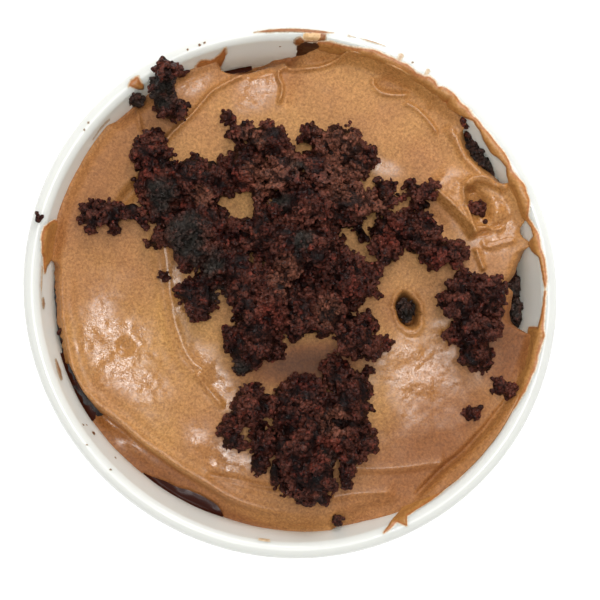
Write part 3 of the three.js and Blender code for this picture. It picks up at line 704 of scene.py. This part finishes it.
def lip_terms(x, y):
    """Drop of the lower layer and height of the rolled lip."""
    distance, along, side = path_distance(x, y, LIP_LINE)
    outside = np.where(side < 0, distance, -distance)
    share = between_ends(along, 0.16)
    depth = (0.9 + 2.6 * smoothstep(0.2, 0.42, along)) * (1 - 0.6 * smoothstep(0.6, 0.9, along))
    drop = depth * smoothstep(-0.1, 0.9, outside) * share
    lip = 0.6 * bell(outside + 0.5, 0.6) - 0.2 * bell(outside + 2.0, 0.9)
    return drop, lip * share


def crease_height(x, y):
    total = np.zeros(x.shape)
    for height, width, step, fade, path in CREASES:
        line = spline(path, 40)
        reach = 3 * max(width, fade)
        low, high = line.min(0) - reach, line.max(0) + reach
        near = (x > low[0]) & (x < high[0]) & (y > low[1]) & (y < high[1])
        distance, along, side = path_distance(x[near], y[near], line)
        drop = step * (side > 0) * smoothstep(0, width, distance) * bell(distance, fade)
        total[near] += CREST * (height * bell(distance, width) - drop) * between_ends(along, 0.12)
    return total


def in_ellipse(x, y, middle_x, middle_y, long, wide, angle):
    """Squared distance from the middle of an ellipse, where 1 is its outline."""
    turn = math.radians(angle)
    dx, dy = x - middle_x, y - middle_y
    u = (dx * math.cos(turn) + dy * math.sin(turn)) / long
    v = (dy * math.cos(turn) - dx * math.sin(turn)) / wide
    return u * u + v * v


def patch_share(x, y, patch, flat=1):
    """1 in the middle of a patch, fading out past its outline."""
    return np.exp(-(in_ellipse(x, y, *patch) ** flat))


def dent_depth(x, y):
    return sum(depth * patch_share(x, y, patch, flat) for *patch, depth, flat in DENTS)


def pit_depth(x, y):
    reach = np.sqrt(in_ellipse(x, y, *PIT)) + 0.1 * noise(x / 1.2, y / 1.2, 3.0)
    return PIT_DEPTH * (1 - smoothstep(0.72, 1.08, reach)) - 0.35 * bell(reach - 1.25, 0.18)


def wrinkle_height(x, y):
    """Short shallow wrinkles, in patches."""
    total = np.zeros(x.shape)
    for n, (*patch, along) in enumerate(WRINKLES):
        cosine, sine = math.cos(math.radians(along)), math.sin(math.radians(along))
        u = x * cosine + y * sine + 0.5 * noise(x / 2, y / 2, n)
        v = y * cosine - x * sine + 0.5 * noise(x / 2, y / 2, n + 0.5)
        total += 0.009 * noise(u / 1.7, v / 0.62, 4.0 + n) * patch_share(x, y, patch, 2)
    return total


def sheen_mask(x, y):
    """Share of oily sheen: on the ridges, and in the wrinkled patches, broken up."""
    wrinkled = np.max([patch_share(x, y, patch) for *patch, along in WRINKLES], 0)
    ridges = 0.8 * smoothstep(0.15, 0.6, np.maximum(crease_height(x, y), lip_terms(x, y)[1]))
    return np.maximum(ridges, smoothstep(0.1, 0.85, wrinkled + 0.22 * uneven(x, y, SHEEN_BREAKS)))


def sauce_inner(level, reach, angle):
    """Radius, before the cup's oval, at which a pool of sauce starts, and where there is any."""
    (depth,) = round_cup(angle, reach)
    return wall_radius(level) - depth * (1 + 0.1 * noise(angle / 3, 1.0, 2.0)), depth > 0


def sauce_carving(x, y, top):
    """The frosting with room for the pools of sauce."""
    angle = np.mod(np.degrees(np.arctan2(y, x)), 360)
    radius = np.hypot(x, y) / oval(angle)
    for level, reach in SAUCE:
        inner, wet = sauce_inner(level, reach, angle)
        inside = smoothstep(-0.3, 0.3, radius - inner) * wet
        top = top - np.maximum(top - (level - 0.5), 0) * inside
    return top


def frosting_top(x, y):
    angle = np.degrees(np.arctan2(y, x))
    radius = np.hypot(x, y) / oval(angle)
    drop, lip = lip_terms(x, y)
    top = LEVEL + uneven(x, y, FROSTING_SWELLS) - dent_depth(x, y) - drop
    edge, reach = round_cup(angle, WALL_LEVELS)
    share = smoothstep(0, 1, (radius - (wall_radius(edge) - reach)) / reach)
    top = top + (edge - top) * share**1.4
    top = top + crease_height(x, y) + lip - pit_depth(x, y) + wrinkle_height(x, y)
    top = sauce_carving(x, y, top + uneven(x, y, FROSTING_GRAIN))
    return np.clip(top, BASE + 0.5, CUP_HEIGHT - 0.4)


def disc_square(count):
    """An even grid of points over the unit disc, in rows that run round as squares do."""
    u, v = np.meshgrid(*[np.linspace(-1, 1, count)] * 2, indexing="ij")
    wide = np.abs(u) >= np.abs(v)
    big, small = np.where(wide, u, v), np.where(wide, v, u)
    turn = np.where(big == 0, 0, small / np.where(big == 0, 1, big)) * np.pi / 4
    first, second = big * np.cos(turn), big * np.sin(turn)
    return np.where(wide, first, second), np.where(wide, second, first)


def square_border(count):
    """Indices of the border of a count by count grid, once round."""
    grid = np.arange(count * count).reshape(count, count)
    return np.concatenate([grid[:-1, 0], grid[-1, :-1], grid[:0:-1, -1], grid[0, :0:-1]])


def edge_radius(angle, z):
    """Radius of the frosting's side: into the paper where it touches the wall, upright where it
    stays back from it."""
    depth = slot_depth(angle)
    touching = wall_radius(z) + TOUCH
    upright = np.minimum(wall_radius(LEVEL) - depth, touching)
    return (touching + (upright - touching) * smoothstep(0.1, 0.8, depth)) * oval(angle)


def make_frosting(material):
    count, rows = 292, 9
    u, v = disc_square(count)
    share, turn = np.hypot(u, v).ravel(), np.arctan2(v, u).ravel()
    angle = np.degrees(turn)
    rim = edge_radius(angle, np.maximum(LEVEL, round_cup(angle, WALL_LEVELS)[0]))
    x, y, inward = share * rim * np.cos(turn), share * rim * np.sin(turn), rim * (1 - share)
    free = smoothstep(0.2, 1.2, slot_depth(angle))
    rounding = 1.3 * free * (1 - np.sqrt(1 - np.clip(1 - inward / 1.6, 0, 1) ** 2))
    z = frosting_top(x, y) - rounding + 0.5 * (1 - free) * np.exp(-inward / 0.7)
    points, faces = [np.stack([x, y, z], -1)], [grid_faces(count, count)]
    loop = square_border(count)
    angle, turn, edge = angle[loop], turn[loop], z[loop]
    free = smoothstep(0.3, 1.5, slot_depth(angle))
    for row in range(rows):
        step = (row + 1) / rows
        z = edge + (BASE - edge) * step
        lumps = 0.35 * noise(angle * 0.9, z * 0.9, 3.0) * np.sin(np.pi * step)
        bulge = (0.7 * np.sin(np.pi * min(1.0, 0.15 + 1.1 * step)) + lumps) * free
        radius = np.minimum(edge_radius(angle, z) + bulge, (wall_radius(z) + TOUCH) * oval(angle))
        points.append(polar(radius, turn, z))
        below = np.arange(len(loop)) + count * count + row * len(loop)
        faces.append(np.stack([loop, np.roll(loop, -1), np.roll(below, -1), below], -1)[:, ::-1])
        loop = below
    points = np.concatenate(points)
    x, y, z = points.T
    # Darkening where the frosting lies low, and painted shade in the shaded patches, deeper past 1.
    wet = smoothstep(0.7, 3.4, LEVEL - z)
    for *patch, strength in PAINTED_SHADE_SPOTS:
        wet = np.maximum(wet, strength * patch_share(x, y, patch, 1.5))
    add_piece("frosting_layer", "frosting", ["frosting"], points, np.concatenate(faces), material,
              sheen=sheen_mask(x, y), wet=wet)


# ---- the cake


def make_cake(material):
    """The cake, rough where the slots beside the frosting show it."""
    sides = 480
    radii = np.concatenate([np.linspace(0, 30, 3), np.linspace(32, 41, 26)])

    def rows(turn):
        (edge,) = round_cup(np.degrees(turn), CAKE_EDGE)
        for radius in radii:
            reach = np.minimum(radius, wall_radius(edge) + 0.05)
            x, y = reach * np.cos(turn), reach * np.sin(turn)
            z = edge + (BASE + 0.4 - edge) * (1 - smoothstep(36, 38.5, radius))
            yield reach, z + uneven(x, y, CAKE_CRUMB)
        bottom = FLOOR_TOP + 0.1
        yield wall_radius(CAKE_SIDE) + 0.1, CAKE_SIDE
        yield wall_radius(bottom), bottom
        yield 0.0, bottom

    faces = grid_faces(len(radii) + 3, sides, wrap=True)
    add_piece("cake_body", "cake", ["cake"], ring_surface(rows, sides), faces, material)


def make_sauce(material):
    """Glossy dark sauce in the low places by the wall."""
    points, faces = [], []
    share = np.linspace(0, 1, 14)[:, None]
    for level, reach in SAUCE:
        angle = np.linspace(reach[0][0] + 0.1, reach[-1][0] - 0.1, 60)
        outer = wall_radius(level) + 0.15
        inner = np.minimum(sauce_inner(level, reach, angle)[0] - 0.5, outer - 0.05)
        radius = inner + (outer - inner) * share
        creep = 0.4 * np.exp(-(outer - radius) / 0.4) - 0.25 * (1 - share)
        z = level + creep + 0.08 * noise(radius * 0.7, angle / 3.5, 2.0)
        faces.append(grid_faces(*z.shape) + len(faces) * z.size)
        points.append(polar(radius * oval(angle), np.radians(angle), z).reshape(-1, 3))
    add_piece("sauce_pools", "cake", [], np.concatenate(points), np.concatenate(faces), material)


# ---- lumps of cake


def lattice_noise(shape, cell, random):
    """Smooth random values from about -1 to 1 over a block, varying over cell samples."""
    field = random.uniform(-1, 1, [int(n / cell) + 3 for n in shape])
    for axis, n in enumerate(shape):
        place = np.arange(n) / cell
        i = place.astype(int)
        f = smoothstep(0, 1, place - i).reshape([n if k == axis else 1 for k in range(3)])
        field = np.take(field, i, axis) * (1 - f) + np.take(field, i + 1, axis) * f
    return field


def look_up(field, origin, points, outside):
    index = np.round((points - origin) / VOXEL).astype(int)
    inside = np.all((index >= 0) & (index < np.array(field.shape)), 1)
    values = np.full(len(points), outside)
    values[inside] = field[tuple(index[inside].T)]
    return values


def jittered(low, high, cell, random):
    axes = [np.arange(a, b, cell) for a, b in zip(low, high)]
    points = np.stack(np.meshgrid(*axes, indexing="ij"), -1).reshape(-1, 3)
    return points + random.uniform(-0.5, 0.5, points.shape) * cell


def add_balls(field, origin, centres, radii):
    """Joins balls into a distance field."""
    reach = int(math.ceil(radii.max(initial=0) / VOXEL)) + 1
    base = np.round((centres - origin) / VOXEL).astype(int)
    for offset in itertools.product(range(-reach, reach + 1), repeat=3):
        index = base + np.array(offset)
        distance = np.linalg.norm(index * VOXEL + origin - centres, axis=1) - radii
        good = (distance < 1.5 * VOXEL) & np.all((index >= 0) & (index < np.array(field.shape)), 1)
        np.minimum.at(field, tuple(index[good].T), distance[good])


def soften(field, amount):
    for axis in range(3):
        sides = (np.roll(field, 1, axis) + np.roll(field, -1, axis)) / 2
        field = field * (1 - amount) + sides * amount
    return field


def main_bodies(points, triangles, smallest):
    """Drops loose islands and closed pores: only connected surfaces of enough faces stay."""
    updated, label = np.arange(len(points)), None
    edges = np.concatenate([triangles[:, :2], triangles[:, 1:]])
    while not np.array_equal(updated, label):
        label = updated.copy()
        lower = np.minimum(label[edges[:, 0]], label[edges[:, 1]])
        np.minimum.at(updated, edges[:, 0], lower)
        np.minimum.at(updated, edges[:, 1], lower)
        updated = updated[updated]
    counts = np.bincount(label[triangles[:, 0]], minlength=len(points))
    used, triangles = used_only(triangles[counts[label[triangles[:, 0]]] >= smallest])
    return points[used], triangles


def read_rows(items, name, kind):
    values = np.zeros(len(items) * 3, kind)
    items.foreach_get(name, values)
    return values.reshape(-1, 3)


def distance_block(nodes):
    """Distance field of CAD nodes, in millimetres, each shifted in x and y, on a block with
    room round it."""
    points, triangles = np.zeros((0, 3)), np.zeros((0, 3), np.uint32)
    for node, shift in nodes.items():
        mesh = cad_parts[node].data
        mesh.calc_loop_triangles()
        corners = read_rows(mesh.loop_triangles, "vertices", np.int32) + len(points)
        triangles = np.concatenate([triangles, corners.astype(np.uint32)])
        points = np.concatenate([points, read_rows(mesh.vertices, "co", np.float32) / MM + (*shift, 0.0)])
    low, high = points.min(0) - 2.5, points.max(0) + 2.5
    samples = ((points - low) / VOXEL).astype(np.float32)
    grid = openvdb.FloatGrid.createLevelSetFromPolygons(samples, triangles=triangles, halfWidth=9)
    field = np.zeros(np.ceil((high - low) / VOXEL).astype(int), np.float32)
    grid.copyToArray(field, ijk=(0, 0, 0))
    return field * VOXEL, low


def crumb_surface(base, origin, seed, rough=1.0):
    """Cake crumb: big lumps broken into curds, which are packed from grains. Gives points,
    triangles and, for painted shade, how deep in a recess of the lumps each point lies."""
    random = np.random.default_rng(seed)
    shape = base.shape
    lumpy = base + 0.1 + 0.9 * rough * lattice_noise(shape, 3.2 / VOXEL, random)
    lumpy += 0.65 * rough * lattice_noise(shape, 1.6 / VOXEL, random)
    high = origin + np.array(shape) * VOXEL
    curds = jittered(origin, high, CURD_SPACING, random)
    curds = curds[look_up(lumpy, origin, curds, 9.0) < -0.1]
    body = np.full(shape, 1.5 * VOXEL, np.float32)
    add_balls(body, origin, curds, random.uniform(*CURD_RADII, len(curds)))
    grains = jittered(origin, high, GRAIN_SPACING, random)
    grains = grains[np.abs(look_up(body, origin, grains, 9.0)) < 0.3]
    field = np.minimum(np.maximum(body + 0.25, -1.0), lumpy + (0.7 if rough == 1.0 else 0.3))
    add_balls(field, origin, grains, random.uniform(*GRAIN_RADII, len(grains)))
    field = soften(np.clip(field, -1.5 * VOXEL, 1.5 * VOXEL), 0.15)
    volume = openvdb.FloatGrid(1.5 * VOXEL)
    volume.copyFromArray(field.astype(np.float32))
    points, triangles, quads = volume.convertToPolygons(isovalue=0.0, adaptivity=0.0)
    triangles = np.concatenate([triangles, quads[:, [0, 1, 2]], quads[:, [0, 2, 3]]]).astype(int)
    points = points * VOXEL + origin
    seen = look_up(open_air(field > 0), origin, points, True)
    points, triangles = main_bodies(points, triangles[seen[triangles].any(1)], 60)
    return points, triangles, smoothstep(0.1, 0.9, -look_up(lumpy, origin, points, 0.0))


def shifted(layer, dx, dy):
    """The layer moved by up to three samples, with open air coming in at the sides."""
    wide, deep = layer.shape
    return np.pad(layer, 3, constant_values=True)[3 - dx:3 - dx + wide, 3 - dy:3 - dy + deep]


def open_air(empty):
    """Samples within one step of air that is seen from above or from the sides."""
    seen = np.zeros(empty.shape, bool)
    for dx, dy, reach in itertools.product((-1, 0, 1), (-1, 0, 1), (1, 3)):
        above = np.ones(empty.shape[:2], bool)
        for layer in range(empty.shape[2] - 1, -1, -1):
            above = shifted(above, reach * dx, reach * dy) & empty[:, :, layer]
            seen[:, :, layer] |= above
    beside = seen.copy()
    for axis, way in itertools.product(range(3), (-1, 1)):
        beside |= np.roll(seen, way, axis)
    return beside


@functools.cache
def height_grid(reach, steps):
    a = np.linspace(-reach, reach, steps + 1)
    return frosting_top(*np.meshgrid(a, a, indexing="ij"))


def look_up_height(x, y):
    """Height of the frosting, from a grid made once."""
    reach, steps = 45, 180
    i, j = (np.clip(np.round((v / reach + 1) * steps / 2), 0, steps).astype(int) for v in (x, y))
    return height_grid(reach, steps)[i, j]


def hidden(points, triangles):
    """Triangles that lie inside the frosting."""
    x, y, z = points[triangles].mean(1).T
    return (np.hypot(x, y) < wall_radius(LEVEL) - WALL_BAND) & (z < look_up_height(x, y) - BURIED)


def near_spots(points, spots):
    """How strongly each point is marked by the spots, broken up a little."""
    marked = np.zeros(len(points))
    for *centre, radius in spots:
        distance = np.linalg.norm(points - centre, axis=1)
        marked = np.maximum(marked, 1 - smoothstep(0.5 * radius, radius, distance))
    return marked * (0.7 + 0.3 * noise(*(0.8 * points.T)))


def keep_in_cup(points):
    """Points beyond the wall, below the rim's roll, moved to just inside the wall."""
    x, y, z = points.T
    limit = wall_radius(z) * oval(np.degrees(np.arctan2(y, x))) - 0.05
    ratio = np.where(z < FLARE_HEIGHT, np.minimum(limit / np.maximum(np.hypot(x, y), 1.0), 1.0), 1.0)
    return np.column_stack([x * ratio, y * ratio, z])


def add_crumb(name, nodes, points, triangles, hollow, material):
    points = keep_in_cup(points)
    marks = {key: near_spots(points, spots) for key, spots in SPOTS.items()}
    add_piece(name, "crumb", nodes, points, triangles[:, ::-1], material, False, hollow=hollow, **marks)


def make_crumbs(material):
    for seed, (name, nodes) in enumerate(CRUMB_GROUPS.items()):
        base, origin = distance_block(nodes)
        for ball in CHUNKS.get(name, []):
            base = np.minimum(base, ball_distance(base.shape, origin, ball))
        for ball in BITES.get(name, []):
            base = np.maximum(base, -ball_distance(base.shape, origin, ball))
        sunk = int(round(SUNK / VOXEL))
        base = np.minimum(base, np.concatenate([base[:, :, sunk:], base[:, :, -sunk:]], 2))
        points, triangles, hollow = crumb_surface(base, origin, 11 + seed)
        used, triangles = used_only(triangles[~hidden(points, triangles)])
        points, hollow = points[used], hollow[used]
        points[:, :2] -= np.maximum(points[:, 2:] - LEVEL, 0) * (NARROWING * points[:, :2] + np.array(LEAN))
        ceiling = max(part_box(node)[1].z for node in nodes) / MM
        points[:, 2] = np.minimum(points[:, 2], ceiling - 0.02)
        for part, chosen in enumerate(split_in_two(points, triangles)):
            add_crumb(f"{name}_{part + 1}", nodes, points, chosen, hollow, material)


def split_in_two(points, triangles):
    """The triangles on either side of the middle, where there are too many for one piece."""
    if len(triangles) < PIECE_LIMIT:
        return [triangles]
    middle = points[triangles].mean(1)[:, 1]
    upper = middle > np.median(middle)
    return [triangles[upper], triangles[~upper]]


def ball_distance(shape, origin, ball):
    """Distance to a ball over a block."""
    squares = [(origin[k] + np.arange(shape[k]) * VOXEL - ball[k]) ** 2 for k in range(3)]
    return np.sqrt(sum(np.meshgrid(*squares, indexing="ij", sparse=True))) - ball[3]


def ball_block(balls):
    """Distance field of a chain of balls on a block with room round it."""
    centres, radii = np.array(balls)[:, :3], np.array(balls)[:, 3:]
    low, high = (centres - radii - 1.6).min(0), (centres + radii + 1.6).max(0)
    shape = np.ceil((high - low) / VOXEL).astype(int)
    return np.min([ball_distance(shape, low, ball) for ball in balls], 0), low


def make_small_crumbs(material):
    """Small crumbs on the frosting and in the gaps by the wall."""
    chains = list(WALL_CRUMBS)
    for chain in SMALL_CRUMBS:
        chains.append([(x, y, look_up_height(x, y) + up, radius) for x, y, up, radius in chain])
    parts, start = [], 0
    for seed, chain in enumerate(chains):
        points, triangles, hollow = crumb_surface(*ball_block(chain), 70 + seed, 0.5)
        parts.append((points, triangles + start, hollow))
        start += len(points)
    add_crumb("crumbs_small", [], *map(np.concatenate, zip(*parts)), material)


# ---- smears on the rim


def rim_place(angle, along, lift):
    """Point at an angle and a distance over the rim from its outermost edge, lifted off it."""
    bend, leaves = along / ROLL, np.pi - LEAVES
    z_wall = FLARE_HEIGHT - (along - leaves * ROLL) * math.cos(LEAVES)
    radius = np.where(bend < leaves, ROLL_RADIUS + (ROLL + lift) * np.cos(bend), wall_radius(z_wall) - lift)
    z = np.where(bend < leaves, ROLL_HEIGHT + (ROLL + lift) * np.sin(bend), z_wall)
    return polar(radius * oval(angle), np.radians(angle), z)


def band_films(angle, along, rough):
    """Thickness and tone of each band of frosting."""
    for thick, ragged, tone, band in SMEARS:
        at, near, far = np.array(band).T
        turned = np.where(angle > at[-1] + 5, angle - 360, angle)
        ends = np.radians(np.minimum(turned - at[0], at[-1] - turned)) * ROLL_RADIUS
        inside = np.minimum(along - np.interp(turned, at, near), np.interp(turned, at, far) - along)
        inside = np.minimum(inside, ends) + ragged * rough
        film = thick * smoothstep(0.0, 1.2, inside) ** 0.85 + 0.02 * smoothstep(0, 0.15, inside)
        yield film * (1 + 0.35 * rough), tone


def speck_films(arc, along):
    """Thickness and tone of each speck."""
    for at, place, radius in SPECKS:
        distance = np.hypot(arc - math.radians(at) * ROLL_RADIUS, along - place)
        yield 0.8 * radius * smoothstep(1.5 * radius, 0.6 * radius, distance), SPECK_TONE


def make_smears(material):
    step = 0.14
    columns, rows = int(2 * np.pi * ROLL_RADIUS / step), int(12.0 / step)
    angle, along = np.meshgrid(np.linspace(0, 360, columns, endpoint=False), np.linspace(0.5, 12.5, rows))
    arc = np.radians(angle) * ROLL_RADIUS
    rough = 0.7 * noise(arc / 2.6, along / 1.5, 2.0) + 0.3 * noise(arc / 0.9, along / 0.7, 5.0)
    thickness, tones = np.zeros(angle.shape), np.zeros(angle.shape)
    for film, tone in itertools.chain(band_films(angle, along, rough), speck_films(arc, along)):
        tones = np.where(film > thickness, tone, tones)
        thickness = np.maximum(thickness, film)
    points = rim_place(angle, along, thickness + 0.012).reshape(-1, 3)
    faces = grid_faces(rows, columns, wrap=True)
    used, faces = used_only(faces[(thickness.ravel()[faces] > 0.004).any(1)])
    cover, tones = np.clip(thickness / 0.3, 0, 1).ravel()[used], tones.ravel()[used]
    add_piece("rim_smears", "frosting", [], points[used], faces, material, cover=cover, tone=tones)


# ---- stage


def make_stage():
    m = Nodes("table", Base_Color=(0.94, 0.94, 0.94, 1), Roughness=0.9, Emission_Color=(1, 1, 1, 1),
              Emission_Strength=0.4)
    far = 9000
    points = [(-far, -far, 0), (far, -far, 0), (far, far, 0), (-far, far, 0)]
    mesh_object("table_top", points, [(0, 1, 2, 3)], m.material)


def make_camera():
    azimuth, elevation, distance = math.radians(-37), math.radians(87), 280.0
    target = Vector((1.42, -1.71, CUP_HEIGHT))
    level = math.cos(elevation)
    back = Vector((math.sin(azimuth) * level, -math.cos(azimuth) * level, math.sin(elevation)))
    right = Vector((0, 1, 0)).cross(back).normalized()
    data = bpy.data.cameras.new("camera")
    data.sensor_width = 36
    data.lens = 100.37
    data.clip_start = 0.01
    data.clip_end = 20
    camera = new_object("camera", data)
    turn = Matrix((right, back.cross(right), back)).transposed().to_4x4()
    camera.matrix_world = Matrix.Translation((target + back * distance) * MM) @ turn
    bpy.context.scene.camera = camera


# Lights: place, width, depth and power in watts.
LIGHTS = {
    "window": ((70, 240, 260), 160, 160, 0.42),
    "lamp_left": ((-77, -6, 700), 46, 50, 0.56),
    "lamp_right": ((90, -14, 700), 46, 40, 0.38),
    "lamp_far": ((-14, 142, 700), 44, 18, 0.22),
    "lamp_low": ((-22, -60, 700), 26, 16, 0.1),
    "lamp_mid": ((76, 99, 700), 18, 18, 0.08),
    "lamp_east": ((128, 66, 700), 28, 28, 0.2),
    "lamp_side": ((140, 330, 420), 16, 16, 0.05),
    "lamp_edge": ((-220, -200, 450), 16, 16, 0.05),
}


def make_lights():
    world = bpy.data.worlds.new("studio")
    world.use_nodes = True
    background = world.node_tree.nodes["Background"]
    background.inputs["Color"].default_value = (1.0, 1.0, 1.0, 1)
    background.inputs["Strength"].default_value = 0.49
    bpy.context.scene.world = world
    bpy.context.scene.view_settings.view_transform = "Standard"
    for name, (place, wide, deep, power) in LIGHTS.items():
        data = bpy.data.lights.new(name, "AREA")
        data.shape = "RECTANGLE"
        data.size = wide * MM
        data.size_y = deep * MM
        data.energy = power
        light = new_object(name, data)
        light.location = Vector(place) * MM
        light.rotation_mode = "QUATERNION"
        toward = Vector((0, 0, CUP_HEIGHT)) * MM - light.location
        light.rotation_quaternion = toward.to_track_quat("-Z", "Y")


# ---- assembly

make_camera()
make_lights()
make_stage()
make_cup(paper_material())
make_frosting(frosting_material())
make_cake(cake_material())
make_sauce(sauce_material())
crumb = crumb_material()
make_crumbs(crumb)
make_small_crumbs(crumb)
make_smears(smear_material())
